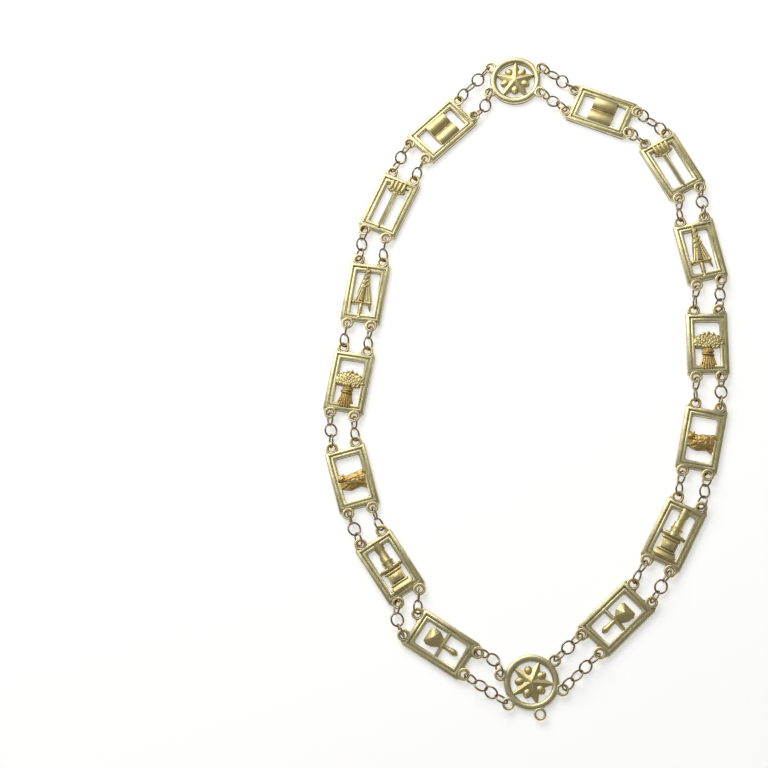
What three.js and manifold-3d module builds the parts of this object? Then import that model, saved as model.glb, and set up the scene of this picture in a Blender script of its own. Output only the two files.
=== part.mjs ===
// Chain of office: a closed loop of fourteen pierced plaques and two star medallions, cast in gilt
// metal and joined by two strands of small wire rings. It lies flat, backs down, as a long oval.
// Units are millimetres, +Z is up. Each plaque and medallion is one casting, and the rings of each
// strand between two castings are one piece.
import * as THREE from 'three';
import { mergeVertices } from 'three/addons/utils/BufferGeometryUtils.js';
import Module from 'manifold-3d';

const wasm = await Module();
wasm.setup();

// ---- driving dimensions ---------------------------------------------------------------------------
// A plaque: a moulded rectangular frame with two lugs at each end.
const PLAQUE = { halfWidth: 11.9, halfLength: 18.0, openHalfWidth: 7.0, ridgeTop: 3.8, landTop: 2.1 };
// A lug: a holed ear, raised so that the ring through it clears the surface that the chain lies on.
const LUG = { hole: 2.45, holeSides: 6, rim: 3.6, rimSides: 8, under: 2.1, top: 3.4 };
const PLAQUE_LUG = { x: 7.1, y: 20.0 };
// A medallion: a round moulded rim with a five-pointed star in it and two lugs at each side.
const MEDALLION = { outer: 15.3, inner: 11.3, rimTop: 3.6, sides: 16 };
const MEDALLION_LUG = { x: 15.3, y: 8.2 };
const STAR = { points: 5, tip: 12.6, notch: 4.8, edge: 2.2, apex: 4.5, knobAt: 6.7, knob: 2.25 };
const JEWEL_LUG = { y: -17.9, hole: 2.1, rim: 3.6 };
// A ring: wire closed to a slightly drawn-out circle, with its inner side brought to an edge here. Each
// ring of a strand bites a little into the next, as the strand is one piece.
const RING = { long: 8.6, wide: 8.0, wire: 1.05, height: 1.1, sides: 8, bite: 0.18 };
// The emblems stand on this level, just above the back of the frame, and reach over the land.
const BACK = 0.5;
const REACH = 8.8;

// ---- how the castings lie -------------------------------------------------------------------------
// Centre in millimetres and turn of the upright in degrees, anticlockwise seen from above.
const CASTINGS = [
  { name: 'medallion_top', motif: 'star', x: -2.5, y: 181, turn: -3 },
  { name: 'book_right', motif: 'book', x: 48.5, y: 157.5, turn: 66 },
  { name: 'crown_right', motif: 'crown', x: 88.5, y: 120, turn: 27 },
  { name: 'sword_right', motif: 'sword', x: 102, y: 65.5, turn: 11 },
  { name: 'sheaf_right', motif: 'sheaf', x: 103, y: 9, turn: -1 },
  { name: 'lamb_right', motif: 'lamb', x: 96.5, y: -47.5, turn: -13 },
  { name: 'column_right', motif: 'column', x: 78.5, y: -101.5, turn: -28 },
  { name: 'cup_right', motif: 'cup', x: 45, y: -148, turn: -47 },
  { name: 'medallion_bottom', motif: 'jewelStar', x: -2.5, y: -182, turn: 13 },
  { name: 'cup_left', motif: 'cup', x: -52, y: -160, turn: 56 },
  { name: 'column_left', motif: 'column', x: -80, y: -116, turn: 32 },
  { name: 'lamb_left', motif: 'lamb', x: -101.5, y: -64, turn: 14 },
  { name: 'sheaf_left', motif: 'sheaf', x: -103.5, y: -6.5, turn: -11 },
  { name: 'sword_left', motif: 'sword', x: -94, y: 48, turn: -10 },
  { name: 'crown_left', motif: 'crown', x: -79.5, y: 103, turn: -25 },
  { name: 'book_left', motif: 'book', x: -47.5, y: 150.5, turn: -48 },
];

// The two strands of rings between a casting and the next one below it. Each strand has its number of
// rings, how far the first and the last ring lean about the line of the strand (degrees), and how far a
// slack strand bows outwards (millimetres).
const GAPS = [
  { side: 'right', upper: 'medallion_top', lower: 'book_right' },
  { side: 'right', upper: 'book_right', lower: 'crown_right' },
  { side: 'right', upper: 'crown_right', lower: 'sword_right' },
  { side: 'right', upper: 'sword_right', lower: 'sheaf_right' },
  { side: 'right', upper: 'sheaf_right', lower: 'lamb_right' },
  { side: 'right', upper: 'lamb_right', lower: 'column_right' },
  { side: 'right', upper: 'column_right', lower: 'cup_right' },
  { side: 'right', upper: 'cup_right', lower: 'medallion_bottom' },
  { side: 'left', upper: 'medallion_top', lower: 'book_left' },
  { side: 'left', upper: 'book_left', lower: 'crown_left' },
  { side: 'left', upper: 'crown_left', lower: 'sword_left' },
  { side: 'left', upper: 'sword_left', lower: 'sheaf_left' },
  { side: 'left', upper: 'sheaf_left', lower: 'lamb_left' },
  { side: 'left', upper: 'lamb_left', lower: 'column_left' },
  { side: 'left', upper: 'column_left', lower: 'cup_left' },
  { side: 'left', upper: 'cup_left', lower: 'medallion_bottom' },
];
const OUTER_STRANDS = [
  [4, 75, -75, 0], [3, 50, 50, 0], [3, 75, 80, 0], [3, 58, 55, 0],
  [3, 65, 80, 0], [3, 50, 50, 0], [3, 70, 65, 0], [4, 60, -50, 0],
  [4, 80, -55, 0], [3, 50, 50, 0], [3, 50, 50, 0], [2, 80, -55, 0],
  [3, 60, 68, 0], [3, 80, 60, 0], [3, 60, 80, 2], [4, 62, -60, 0],
];
const INNER_STRANDS = [
  [3, 75, 80, 0], [2, 55, -80, 0], [2, 65, -60, 0], [2, 60, -75, 0],
  [2, 65, -75, 0], [2, 60, -60, 0], [2, 65, -65, 0], [3, 55, 60, 0],
  [3, 62, 50, -2.5], [2, 80, -55, 0], [2, 80, -55, 0], [2, 62, -55, 0],
  [2, 60, -55, 0], [2, 75, -55, 0], [2, 80, -55, 0], [3, 62, 62, -3],
];

// ---- solids ---------------------------------------------------------------------------------------
// A three.js geometry as a manifold solid.
function solid(geometry) {
  const bare = geometry.clone();
  bare.deleteAttribute('normal');
  bare.deleteAttribute('uv');
  const welded = mergeVertices(bare, 1e-4);
  const body = new wasm.Manifold(new wasm.Mesh({
    numProp: 3,
    vertProperties: Float32Array.from(welded.attributes.position.array),
    triVerts: Uint32Array.from(welded.index.array),
  }));
  if (body.volume() <= 0) {
    throw new Error('a shape is inside out');
  }
  return body;
}

function toGeometry(body) {
  const mesh = body.getMesh();
  const geometry = new THREE.BufferGeometry();
  geometry.setAttribute('position', new THREE.BufferAttribute(mesh.vertProperties, 3));
  geometry.setIndex(new THREE.BufferAttribute(mesh.triVerts, 1));
  return geometry;
}

function outline(points) {
  return new THREE.Shape(points.map(([x, y]) => new THREE.Vector2(x, y)));
}

// A flat-topped slab of the given outline between two levels.
function slab(points, bottom, top) {
  const geometry = new THREE.ExtrudeGeometry(outline(points), { depth: top - bottom, bevelEnabled: false });
  return solid(geometry.translate(0, 0, bottom));
}

// A slab whose upper part narrows towards a peak: each level has a height and a scale about the peak.
function raised(points, peak, levels) {
  const steps = levels.length - 1;
  const geometry = new THREE.ExtrudeGeometry(outline(points), { depth: steps, steps, bevelEnabled: false });
  const place = geometry.attributes.position;
  for (let i = 0; i < place.count; i += 1) {
    const level = levels[Math.round(place.getZ(i))];
    const x = peak[0] + (place.getX(i) - peak[0]) * level.scale;
    const y = peak[1] + (place.getY(i) - peak[1]) * level.scale;
    place.setXYZ(i, x, y, level.z);
  }
  return solid(geometry);
}

// A bar of constant section that runs along Y; the section's points are across (x) and up (z).
function barAlong(section, from, to) {
  const geometry = new THREE.ExtrudeGeometry(outline(section), { depth: to - from, bevelEnabled: false });
  return solid(geometry.rotateX(Math.PI / 2).translate(0, to, 0));
}

function circle(x, y, radius, sides, from = 0) {
  const step = (2 * Math.PI) / sides;
  return Array.from({ length: sides }, (_, i) => [
    x + radius * Math.cos(from + i * step),
    y + radius * Math.sin(from + i * step),
  ]);
}

// A hole cutter whose flats, not its corners, are at the stated radius.
function holeCutter(x, y, radius) {
  const half = Math.PI / LUG.holeSides;
  return slab(circle(x, y, radius / Math.cos(half), LUG.holeSides, half), 0, 6);
}

function joined(bodies) {
  return bodies.reduce((sum, body) => sum.add(body));
}

// ---- plaque frame ---------------------------------------------------------------------------------
// The moulding of the frame from its outer foot over the ridge to the opening, as a four-sided lathe
// whose corners are then pulled apart to the frame's length, which leaves the mitres true.
function frameMoulding() {
  const w = PLAQUE.halfWidth;
  const section = [
    [PLAQUE.openHalfWidth, 0],
    [w, 0],
    [w, 1.2],
    [w - 1.3, PLAQUE.landTop],
    [w - 2.1, PLAQUE.ridgeTop],
    [w - 2.9, PLAQUE.landTop],
    [PLAQUE.openHalfWidth, PLAQUE.landTop - 0.1],
    [PLAQUE.openHalfWidth, 0],
  ];
  const profile = section.map(([x, z]) => new THREE.Vector2(x * Math.SQRT2, z));
  const geometry = new THREE.LatheGeometry(profile, 4, Math.PI / 4).rotateX(Math.PI / 2);
  const stretch = PLAQUE.halfLength - PLAQUE.halfWidth;
  const place = geometry.attributes.position;
  for (let i = 0; i < place.count; i += 1) {
    place.setY(i, place.getY(i) + Math.sign(place.getY(i)) * stretch);
  }
  return solid(geometry);
}

// The plate at one end (up is 1 or -1) that carries two lugs, with a notch between them.
function lugPlate(up) {
  const { x, y } = PLAQUE_LUG;
  const ear = [10, 70, 130].map((degrees) => {
    const angle = THREE.MathUtils.degToRad(degrees);
    return [x + LUG.rim * Math.cos(angle), y + LUG.rim * Math.sin(angle)];
  });
  const half = [[11.6, 15.9], ...ear, [3, PLAQUE.halfLength + 0.3]];
  const left = half.map(([px, py]) => [-px, py]).reverse();
  const points = [...half, ...left].map(([px, py]) => [px, py * up]);
  const plate = slab(up > 0 ? points : points.reverse(), LUG.under, LUG.top);
  return plate.subtract(holeCutter(x, y * up, LUG.hole)).subtract(holeCutter(-x, y * up, LUG.hole));
}

function plaque(emblem) {
  return joined([frameMoulding(), lugPlate(1), lugPlate(-1), emblem]);
}

// ---- emblems, upright in their frame --------------------------------------------------------------
// An open book: two rounded pages side by side that fill the frame from rail to rail.
function book() {
  const height = { top: 7.0, bottom: -7.6 };
  const pageSteps = 3;
  const arch = [];
  for (let k = 0; k <= pageSteps; k += 1) {
    arch.push([REACH * (1 - k / pageSteps), 2.1 + 2.0 * Math.sin((Math.PI * k) / pageSteps)]);
  }
  const left = arch.slice(0, -1).map(([x, z]) => [-x, z]).reverse();
  return barAlong([[-REACH, BACK], [REACH, BACK], ...arch, ...left], height.bottom, height.top);
}

// A fluted crown over the top rail, on a sceptre that runs down over the bottom rail.
function crown() {
  const fan = [
    [-3.9, 8], [3.9, 8], [5.1, 9.6], [4.9, 14.8], [2.4, 15.9], [0, 15.1], [-2.4, 15.9], [-4.9, 14.8],
    [-5.1, 9.6],
  ];
  return joined([
    barAlong([[-1.4, 0.8], [1.4, 0.8], [1.4, 2.4], [0, 3.9], [-1.4, 2.4]], -16.3, 9),
    slab(fan, BACK, 4.1),
  ]);
}

// A sword, point up, wrapped in a veil that widens towards the guard and trails off at the right.
function sword() {
  const veil = [[-2.1, 16.6], [-5.2, -5.5], [4.9, -5.5], [0.3, 16.6]];
  const levels = [{ z: BACK, scale: 1 }, { z: 2.4, scale: 1 }, { z: 4.1, scale: 0.4 }];
  return joined([
    raised(veil, [-0.9, -1], levels),
    slab([[-6.3, -4.8], [-6.3, -7.7], [4.9, -7.7], [4.9, -4.8]], BACK, 3.2),
    slab([[3.3, -7], [4.2, -11], [5, -7]], 0.7, 2.6),
    barAlong([[-2.5, 0.8], [0.3, 0.8], [0.3, 2.6], [-1.1, 3.9], [-2.5, 2.6]], -16.5, -7),
  ]);
}

// A sheaf of wheat: a crown of ears across the frame, tied stalks that flare to the bottom rail.
function sheaf() {
  const ears = [
    [-REACH, -1.8], [-4.4, -3], [4.4, -3], [REACH, -1.8], [REACH, 3.2], [6.2, 4.8], [0, 6.4], [-6.2, 4.8],
    [-REACH, 3.2],
  ];
  const stalks = [
    [-3.4, -2], [-2.8, -5.2], [-4.8, -14.5], [-4.8, -15.6], [5, -15.6], [5, -14.5], [2.9, -5.2], [3.4, -2],
  ];
  const levels = [{ z: BACK, scale: 1 }, { z: 2.4, scale: 1 }, { z: 4.2, scale: 0.6 }];
  return raised(ears, [0, 1.5], levels).add(slab(stalks, BACK, 3.1));
}

// A lamb lying across the frame, its head at the left and its hind legs tucked in at the right.
function lamb() {
  const fleece = [
    [-REACH, 4.2], [-REACH, -5], [-6.3, -5.2], [-2, -7], [3.6, -6], [7.4, -8.6], [REACH, -8.8],
    [REACH, 3.4], [4.6, 3.8], [-1.2, 2.3], [-5, 3],
  ];
  const levels = [{ z: BACK, scale: 1 }, { z: 2.3, scale: 1 }, { z: 3.9, scale: 0.66 }];
  const head = raised(circle(-6.1, 0.3, 2.5, 5), [-6.1, 0.3], [{ z: 2, scale: 1 }, { z: 4.6, scale: 0.6 }]);
  return raised(fleece, [0, -1.2], levels).add(head);
}

// A broken column on a stepped pedestal, with a cornice bar across the frame.
function column() {
  const pedestal = [
    [-4.9, -0.8], [-4.9, -10.2], [-6.8, -14], [-6.8, -15.6], [6.8, -15.6], [6.8, -14], [4.9, -10.2],
    [4.9, -0.8],
  ];
  return joined([
    slab([[-2.9, 15.6], [-2.7, 6], [-1.9, 4.9], [3.1, 8.8], [3.9, 15.6]], BACK, 3.3),
    slab([[-3.9, 3.6], [-3.6, -1.5], [3.6, -1.5], [2.9, 4], [2.9, 9.2]], BACK, 4.1),
    slab([[-REACH, 0.2], [-REACH, -2.3], [REACH, -2.3], [REACH, 0.2]], BACK, 2.6),
    slab(pedestal, BACK, 3.7),
  ]);
}

// A cup: a bar across the frame with a faceted bowl above it and a rounded stem below it.
function cup() {
  const bowl = [[-2.4, -0.8], [3.6, -0.8], [5.9, 5], [5.4, 8.3], [0.8, 9.6], [-3.8, 8.3], [-4.3, 5]];
  const stem = [[-1.6, -1.8], [-2, -7], [0, -11], [2, -7], [1.6, -1.8]];
  return joined([
    slab([[-REACH, -0.1], [-REACH, -2.3], [REACH, -2.3], [REACH, -0.1]], BACK, 2.5),
    raised(bowl, [0.8, 5.2], [{ z: BACK, scale: 1 }, { z: 2.3, scale: 1 }, { z: 4.5, scale: 0.2 }]),
    raised(stem, [0, -6], [{ z: BACK, scale: 1 }, { z: 3, scale: 0.7 }]),
  ]);
}

// ---- medallion ------------------------------------------------------------------------------------
function medallionRim() {
  const { outer, inner, rimTop, sides } = MEDALLION;
  const section = [
    [inner, 0], [outer, 0], [outer, 1.5], [outer - 0.9, rimTop], [inner + 0.9, rimTop], [inner, 0],
  ];
  const profile = section.map(([x, z]) => new THREE.Vector2(x, z));
  return solid(new THREE.LatheGeometry(profile, sides).rotateX(Math.PI / 2));
}

// A faceted star whose first point is at the given turn, with a knob in each notch.
function star(firstPoint) {
  const { points, tip, notch, edge, apex, knobAt, knob } = STAR;
  const corners = [];
  for (let i = 0; i < points * 2; i += 1) {
    const angle = firstPoint + (i * Math.PI) / points;
    const radius = i % 2 ? notch : tip;
    corners.push([radius * Math.cos(angle), radius * Math.sin(angle)]);
  }
  const starLevels = [{ z: BACK, scale: 1 }, { z: edge, scale: 1 }, { z: apex, scale: 0.04 }];
  const bossLevels = [{ z: BACK, scale: 1 }, { z: 2.9, scale: 0.5 }];
  const parts = [raised(corners, [0, 0], starLevels)];
  for (let i = 0; i < points; i += 1) {
    const angle = firstPoint + ((i * 2 + 1) * Math.PI) / points;
    const middle = [knobAt * Math.cos(angle), knobAt * Math.sin(angle)];
    parts.push(raised(circle(...middle, knob, 4, angle), middle, bossLevels));
  }
  return joined(parts);
}

function medallion(firstPoint, jewelLug) {
  const lugs = [1, -1].flatMap((side) => [1, -1].map((up) => ({
    x: side * MEDALLION_LUG.x,
    y: up * MEDALLION_LUG.y,
    hole: LUG.hole,
    rim: LUG.rim,
  })));
  if (jewelLug) {
    lugs.push({ x: 0, ...JEWEL_LUG });
  }
  const ears = lugs.map(({ x, y, hole, rim }) => {
    const middle = Math.atan2(y, x) + Math.PI / LUG.rimSides;
    const plate = slab(circle(x, y, rim, LUG.rimSides, middle), LUG.under, LUG.top);
    return plate.subtract(holeCutter(x, y, hole));
  });
  return joined([medallionRim(), ...ears, star(firstPoint)]);
}

// ---- ring strands ---------------------------------------------------------------------------------
// The place of a casting's lug, seen from above.
function lugPlace(casting, side, strand, end) {
  const outward = side === 'right' ? 1 : -1;
  const outerStrand = strand === 'outer' ? 1 : -1;
  const local = new THREE.Vector2(outward * outerStrand * PLAQUE_LUG.x, end * PLAQUE_LUG.y);
  if (casting.name.startsWith('medallion')) {
    local.set(outward * MEDALLION_LUG.x, -end * outerStrand * MEDALLION_LUG.y);
  }
  local.rotateAround(new THREE.Vector2(), THREE.MathUtils.degToRad(casting.turn));
  return local.add(new THREE.Vector2(casting.x, casting.y));
}

// One ring about the Z axis, its long way along X, with flats at its two tips.
function ring() {
  const half = Math.PI / RING.sides;
  const outer = RING.wide / 2;
  const section = [[outer - RING.wire, 0], [outer, -RING.height / 2], [outer, RING.height / 2]];
  const profile = [...section, section[0]].map(([x, y]) => new THREE.Vector2(x / Math.cos(half), y));
  const geometry = new THREE.LatheGeometry(profile, RING.sides, half).rotateX(Math.PI / 2);
  const place = geometry.attributes.position;
  const stretch = (RING.long - RING.wide) / 2;
  for (let i = 0; i < place.count; i += 1) {
    place.setX(i, place.getX(i) + Math.sign(place.getX(i)) * stretch);
  }
  return geometry;
}

// The rings of one strand, laid along X from the first lug's hole to the last one's. Every second ring
// is a quarter turn on. A ring rests on its lower edge unless its neighbours carry it higher. A slack
// strand lies as an arc that rises by the bow.
function ringStrand(span, count, firstLean, lastLean, bow) {
  const pitch = RING.long - 2 * RING.wire + RING.bite;
  const restHeight = (lean) =>
    (RING.wide / 2) * Math.abs(Math.sin(lean)) + (RING.height / 2) * Math.abs(Math.cos(lean)) + 0.02;
  const first = THREE.MathUtils.degToRad(firstLean);
  const last = THREE.MathUtils.degToRad(lastLean + ((count - 1) % 2) * 90);
  const arcRadius = bow === 0 ? Infinity : (span ** 2 / 4 + bow ** 2) / (2 * bow);
  const bend = 2 * Math.asin(pitch / 2 / arcRadius);
  const rings = [];
  for (let i = 0; i < count; i += 1) {
    const share = i / (count - 1);
    const place = i - (count - 1) / 2;
    const lean = THREE.MathUtils.lerp(first, last, share) - ((i % 2) * Math.PI) / 2;
    const carried = THREE.MathUtils.lerp(restHeight(first), restHeight(lean), share);
    const x = bow === 0 ? place * pitch : arcRadius * Math.sin(place * bend);
    const y = bow === 0 ? 0 : bow - arcRadius * (1 - Math.cos(place * bend));
    const wire = ring().rotateX(lean).rotateZ(-place * bend);
    rings.push(solid(wire.translate(span / 2 + x, y, Math.max(restHeight(lean), carried))));
  }
  return joined(rings);
}

// ---- assembly -------------------------------------------------------------------------------------
const GILT = { color: '#cfc47c', roughness: 0.28, metalness: 1.0 };
const RING_BRASS = { color: '#8a7a55', roughness: 0.4, metalness: 1.0 };

const UP = Math.PI / 2;
const castingShapes = {
  star: toGeometry(medallion(UP, false)),
  jewelStar: toGeometry(medallion(-UP, true)),
  book: toGeometry(plaque(book())),
  crown: toGeometry(plaque(crown())),
  sword: toGeometry(plaque(sword())),
  sheaf: toGeometry(plaque(sheaf())),
  lamb: toGeometry(plaque(lamb())),
  column: toGeometry(plaque(column())),
  cup: toGeometry(plaque(cup())),
};

const group = new THREE.Group();

for (const casting of CASTINGS) {
  const mesh = new THREE.Mesh(castingShapes[casting.motif], new THREE.MeshStandardMaterial(GILT));
  mesh.name = casting.name;
  mesh.position.set(casting.x, casting.y, 0);
  mesh.rotation.z = THREE.MathUtils.degToRad(casting.turn);
  group.add(mesh);
}

const byName = new Map(CASTINGS.map((casting) => [casting.name, casting]));
GAPS.forEach(({ side, upper, lower }, index) => {
  const number = (index % 8) + 1;
  for (const [strand, table] of [['outer', OUTER_STRANDS], ['inner', INNER_STRANDS]]) {
    const from = lugPlace(byName.get(upper), side, strand, -1);
    const to = lugPlace(byName.get(lower), side, strand, 1);
    const [count, firstLean, lastLean, bow] = table[index];
    // The left hand of the way down is outwards on the right side and inwards on the left side.
    const leftward = side === 'right' ? bow : -bow;
    const rings = ringStrand(from.distanceTo(to), count, firstLean, lastLean, leftward);
    const mesh = new THREE.Mesh(toGeometry(rings), new THREE.MeshStandardMaterial(RING_BRASS));
    mesh.name = `rings_${side}_${number}_${strand}`;
    mesh.position.set(from.x, from.y, 0);
    mesh.rotation.z = Math.atan2(to.y - from.y, to.x - from.x);
    group.add(mesh);
  }
});

// The origin is at the middle of the chain's box, on the surface that it lies on.
const box = new THREE.Box3().setFromObject(group, true);
group.position.set(-(box.min.x + box.max.x) / 2, -(box.min.y + box.max.y) / 2, 0);

export default group;
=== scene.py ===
"""Chain of office: pierced gilt castings joined by strands of small wire rings, laid on a pale floor."""

import math
import random

import bmesh
import bpy
from mathutils import Matrix, Vector, noise


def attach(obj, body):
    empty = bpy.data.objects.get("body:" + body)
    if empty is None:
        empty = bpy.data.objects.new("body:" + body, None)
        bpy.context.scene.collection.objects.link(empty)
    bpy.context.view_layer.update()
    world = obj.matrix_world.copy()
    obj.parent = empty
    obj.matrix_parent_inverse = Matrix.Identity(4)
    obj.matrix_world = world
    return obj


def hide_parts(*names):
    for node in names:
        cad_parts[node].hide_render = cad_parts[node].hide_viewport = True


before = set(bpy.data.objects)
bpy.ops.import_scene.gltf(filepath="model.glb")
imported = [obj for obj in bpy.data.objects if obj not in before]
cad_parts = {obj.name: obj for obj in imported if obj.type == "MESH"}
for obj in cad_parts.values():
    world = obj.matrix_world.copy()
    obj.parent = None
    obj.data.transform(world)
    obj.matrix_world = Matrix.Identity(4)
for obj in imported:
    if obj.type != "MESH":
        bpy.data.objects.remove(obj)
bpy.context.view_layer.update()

bl_info = {
    "name": "Chain of Office",
    "version": (1, 0, 0),
    "blender": (4, 5, 0),
    "location": "View3D > Sidebar > Chain",
    "description": "Dresses a chain of office: cast plaques, star medallions and wire rings",
    "category": "Object",
}

MM = 0.001
UP = Vector((0, 0, 1))
# Edges sharper than this stay sharp in the finished pieces.
CREASE = math.radians(34)
# Lays a bar, which is made to run along a casting, across it.
SWAP = Matrix(((0, 1, 0, 0), (1, 0, 0, 0), (0, 0, 1, 0), (0, 0, 0, 1)))

# How the pieces hang together, from the top down: the two rows of rings between a casting and the next.
PLAQUE_ORDER = ("book", "crown", "sword", "sheaf", "lamb", "column", "cup")

# Each strand: number of rings, lean of the first and of the last ring (degrees), outward bow (mm).
STRANDS = {
    ("right", "outer"): (
        (4, 75, -75, 0), (3, 50, 50, 0), (3, 75, 80, 0), (3, 58, 55, 0),
        (3, 65, 80, 0), (3, 50, 50, 0), (3, 70, 65, 0), (4, 60, -50, 0),
    ),
    ("right", "inner"): (
        (3, 75, 80, 0), (2, 55, -80, 0), (2, 65, -60, 0), (2, 60, -75, 0),
        (2, 65, -75, 0), (2, 60, -60, 0), (2, 65, -65, 0), (3, 55, 60, 0),
    ),
    ("left", "outer"): (
        (4, 80, -55, 0), (3, 50, 50, 0), (3, 50, 50, 0), (2, 80, -55, 0),
        (3, 60, 68, 0), (3, 80, 60, 0), (3, 60, 80, 2), (4, 62, -60, 0),
    ),
    ("left", "inner"): (
        (3, 62, 50, -2.5), (2, 80, -55, 0), (2, 80, -55, 0), (2, 62, -55, 0),
        (2, 60, -55, 0), (2, 75, -55, 0), (2, 80, -55, 0), (3, 62, 62, -3),
    ),
}


# ---- colours and nodes ----------------------------------------------------------------------------


def linear(hex_colour):
    """The linear colour of an sRGB hex value such as #D8C878."""
    channels = [int(hex_colour[i : i + 2], 16) / 255 for i in (1, 3, 5)]
    return [c / 12.92 if c <= 0.04045 else ((c + 0.055) / 1.055) ** 2.4 for c in channels]


def node(tree, kind, settings=None, links=None):
    """Adds a node; settings go to its attributes or sockets, links join its sockets to outputs."""
    made = tree.nodes.new(kind)
    for key, value in (settings or {}).items():
        if isinstance(key, str) and hasattr(made, key):
            setattr(made, key, value)
        else:
            made.inputs[key].default_value = value
    for key, output in (links or {}).items():
        tree.links.new(output, made.inputs[key])
    return made


# ---- sizes and colours a user may change ----------------------------------------------------------


class ChainSizes(bpy.types.PropertyGroup):
    """Sizes of the small parts that repeat along the chain."""

    ring_long: bpy.props.FloatProperty(
        name="Ring length", description="Outer length of a ring", default=8.6 * MM, unit="LENGTH"
    )
    ring_wide: bpy.props.FloatProperty(
        name="Ring width", description="Outer width of a ring", default=8.0 * MM, unit="LENGTH"
    )
    wire: bpy.props.FloatProperty(
        name="Wire", description="Thickness of the rings' wire", default=1.12 * MM, unit="LENGTH"
    )
    bite: bpy.props.FloatProperty(
        name="Bite", description="How far a ring presses into the next", default=0.32 * MM, unit="LENGTH"
    )
    lug_hole: bpy.props.FloatProperty(
        name="Lug hole", description="Radius of a lug's hole", default=1.95 * MM, unit="LENGTH"
    )
    lug_rim: bpy.props.FloatProperty(
        name="Lug rim", description="Outer radius of a lug", default=3.6 * MM, unit="LENGTH"
    )


class ChainColours(bpy.types.PropertyGroup):
    """Colours of the finishes."""

    gilt: bpy.props.FloatVectorProperty(
        name="Gilt", description="Plated frames", subtype="COLOR", default=linear("#F2E9BA")
    )
    emblem: bpy.props.FloatVectorProperty(
        name="Emblem gilt", description="Warmer emblems", subtype="COLOR", default=linear("#F6E6AA")
    )
    worn: bpy.props.FloatVectorProperty(
        name="Worn gilt", description="Browner fleece and wheat", subtype="COLOR", default=linear("#E6C67E")
    )
    # Painted shade: this dark colour is mixed into the gilt's low parts and occluded hollows in place of
    # the shade there. It also colours the random plating patches and the wire's scuffs.
    tarnish_and_shade: bpy.props.FloatVectorProperty(
        name="Tarnish", description="Brown in the recesses", subtype="COLOR", default=linear("#5E4A26")
    )
    wire: bpy.props.FloatVectorProperty(
        name="Ring wire", description="Worn brass wire", subtype="COLOR", default=linear("#BCAE94")
    )
    floor: bpy.props.FloatVectorProperty(
        name="Floor", description="Opal floor", subtype="COLOR", default=linear("#F4F4F2")
    )


# ---- materials ------------------------------------------------------------------------------------


def new_material(name):
    """An empty material with its output, its shader and the piece's own coordinates."""
    material = bpy.data.materials.new(name)
    material.use_nodes = True
    tree = material.node_tree
    tree.nodes.clear()
    shader = node(tree, "ShaderNodeBsdfPrincipled")
    node(tree, "ShaderNodeOutputMaterial", links={"Surface": shader.outputs[0]})
    place = node(tree, "ShaderNodeTexCoord")
    return material, tree, shader, place.outputs["Object"]


def cast_gilt(name, bright, tarnish_and_shade, roughness):
    """Gold-plated zinc casting, polished on its high parts: pale yellow metal with painted shade, the dark
    colour mixed into its low parts and occluded hollows where shade falls, random darker patches of uneven
    plating, and the slight waviness and the fine pits of a casting."""
    if name in bpy.data.materials:
        return bpy.data.materials[name]
    material, tree, shader, place = new_material(name)
    # Plating varies over about 5 mm; pits are about 0.5 mm, drawn as coarse as they need to show.
    broad = node(tree, "ShaderNodeTexNoise", {"Scale": 1 / (5 * MM), "Detail": 4.0}, {"Vector": place})
    pits = node(tree, "ShaderNodeTexNoise", {"Scale": 1 / (0.9 * MM), "Detail": 4.0}, {"Vector": place})
    # Painted shade: parts lower than about 2 mm over the back are mixed towards the dark colour, as shade
    # in the recesses.
    height = node(tree, "ShaderNodeSeparateXYZ", links={"Vector": place})
    low = node(
        tree,
        "ShaderNodeMapRange",
        {"From Min": 0.8 * MM, "From Max": 2.0 * MM, "To Min": 1.0, "To Max": 0.0},
        {"Value": height.outputs["Z"]},
    )
    # Painted shade: ambient occlusion mixes the crevices between mouldings, grains and folds towards the
    # dark colour.
    hollow = node(tree, "ShaderNodeAmbientOcclusion", {"Distance": 1.6 * MM, "samples": 8})
    occluded_shade = node(
        tree,
        "ShaderNodeMapRange",
        {"From Min": 0.2, "From Max": 0.7, "To Min": 0.9, "To Max": 0.0},
        {"Value": hollow.outputs["AO"]},
    )
    depth = node(tree, "ShaderNodeMath", {"operation": "MULTIPLY", 1: 0.8}, {0: low.outputs[0]})
    # Painted shade: the stronger of the two darkenings. The random plating patches are added to it below.
    worn = node(
        tree, "ShaderNodeMath", {"operation": "MAXIMUM"}, {0: depth.outputs[0], 1: occluded_shade.outputs[0]}
    )
    patch = node(
        tree,
        "ShaderNodeMapRange",
        {"From Min": 0.35, "From Max": 0.7, "To Min": 0.0, "To Max": 0.26},
        {"Value": broad.outputs["Fac"]},
    )
    shade_and_patches = node(
        tree,
        "ShaderNodeMath",
        {"operation": "ADD", "use_clamp": True},
        {0: worn.outputs[0], 1: patch.outputs[0]},
    )
    colour = node(
        tree,
        "ShaderNodeMix",
        {"data_type": "RGBA", 6: (*bright, 1), 7: (*tarnish_and_shade, 1)},
        {0: shade_and_patches.outputs[0]},
    )
    tree.links.new(colour.outputs[2], shader.inputs["Base Color"])
    shader.inputs["Metallic"].default_value = 1.0
    dull = node(
        tree,
        "ShaderNodeMapRange",
        {"To Min": roughness, "To Max": roughness + 0.25},
        {"Value": shade_and_patches.outputs[0]},
    )
    tree.links.new(dull.outputs[0], shader.inputs["Roughness"])
    waves = node(tree, "ShaderNodeTexNoise", {"Scale": 1 / (3.5 * MM), "Detail": 1.0}, {"Vector": place})
    wavy = node(
        tree, "ShaderNodeBump", {"Strength": 0.35, "Distance": 0.2 * MM}, {"Height": waves.outputs["Fac"]}
    )
    pitted = node(
        tree,
        "ShaderNodeBump",
        {"Strength": 0.35, "Distance": 0.06 * MM},
        {"Height": pits.outputs["Fac"], "Normal": wavy.outputs[0]},
    )
    tree.links.new(pitted.outputs[0], shader.inputs["Normal"])
    return material


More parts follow.
